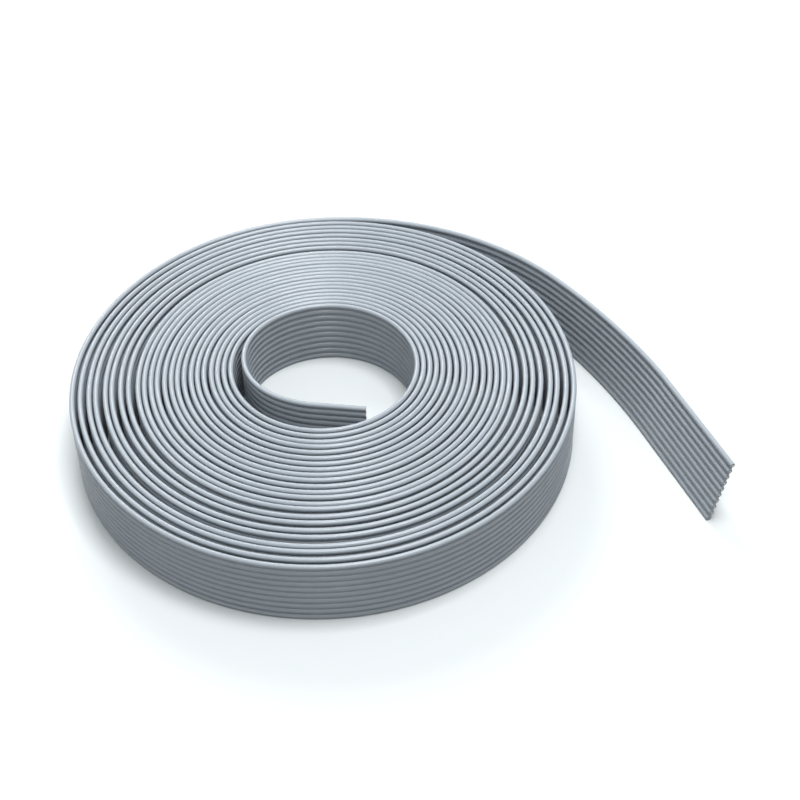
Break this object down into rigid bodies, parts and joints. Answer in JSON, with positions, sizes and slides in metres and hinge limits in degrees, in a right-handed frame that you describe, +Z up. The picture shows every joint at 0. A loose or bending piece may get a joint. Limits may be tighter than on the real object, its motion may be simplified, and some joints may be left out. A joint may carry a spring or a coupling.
{
  "type": "ribbon cable",
  "caption": "Flat ribbon cable with side-by-side wires, wound on edge into a loose roll, with a free inner end and a leaning outer tail.",
  "frame": {"origin": "centre of the roll's open middle, on the table that the roll stands on", "axes": "+Z up, along the roll's axis and across the strip's width; +X towards the side where the outer tail runs off; -Y towards the viewer"},
  "size_m": [0.1074, 0.0848, 0.0123],
  "materials": {
    "insulation": "soft satin grey PVC",
    "conductor": "tinned copper strands"
  },
  "bodies": {
    "root": {"insulation": "insulation", "conductor_01": "conductor", "conductor_02": "conductor", "conductor_03": "conductor", "conductor_04": "conductor", "conductor_05": "conductor", "conductor_06": "conductor", "conductor_07": "conductor", "conductor_08": "conductor", "conductor_09": "conductor", "conductor_10": "conductor"}
  },
  "joints": []
}
